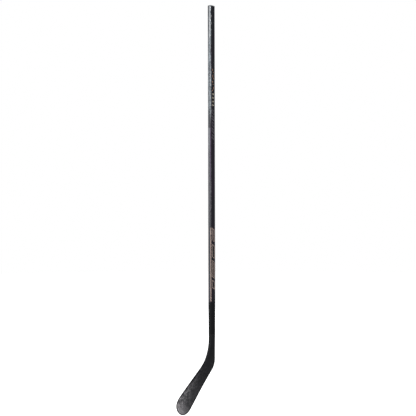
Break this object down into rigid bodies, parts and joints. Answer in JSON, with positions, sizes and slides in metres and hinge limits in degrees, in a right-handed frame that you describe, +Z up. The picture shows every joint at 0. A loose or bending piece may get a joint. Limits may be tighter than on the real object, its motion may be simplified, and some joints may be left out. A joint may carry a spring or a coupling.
{
  "type": "ice hockey stick",
  "caption": "Right-handed composite ice hockey stick: hollow rectangular shaft bonded to a curved, open-faced blade.",
  "frame": {"origin": "on the flat of the blade's sole, where the shaft's centreline meets it", "axes": "+Z up the shaft to the butt end, -X towards the toe, -Y the forehand (concave) side"},
  "size_m": [0.2387, 0.023, 1.7383],
  "materials": {
    "shaft_laminate": "woven carbon under a satin clear coat",
    "hosel_laminate": "matte carbon laminate",
    "blade_laminate": "carbon laminate with a fine speckle",
    "edge_laminate": "matte carbon wrap",
    "cap_plastic": "moulded grey plastic",
    "print_lower": "clear film printed in copper",
    "print_upper": "clear film with small printed marks",
    "print_side": "blue-grey film with small printed marks",
    "adhesive": "cured adhesive",
    "core_foam": "closed-cell foam",
    "toe_foam": "denser closed-cell foam",
    "inner_laminate": "unfinished carbon laminate"
  },
  "bodies": {
    "root": {"shaft": "shaft_laminate", "butt_cap": "cap_plastic", "cap_glue": "adhesive", "stop_plug": "core_foam", "tenon": "inner_laminate", "tenon_glue": "adhesive", "joint_bead": "adhesive", "hosel": "hosel_laminate", "hosel_core": "core_foam", "forehand_face": "blade_laminate", "backhand_face": "blade_laminate", "edge_wrap": "edge_laminate", "heel_core": "core_foam", "lower_core": "core_foam", "upper_core": "core_foam", "bridge": "inner_laminate", "toe_core": "toe_foam", "lower_print_forehand": "print_lower", "lower_print_backhand": "print_lower", "upper_print_forehand": "print_upper", "upper_print_backhand": "print_upper", "side_print_front": "print_side", "side_print_back": "print_side"}
  },
  "joints": []
}
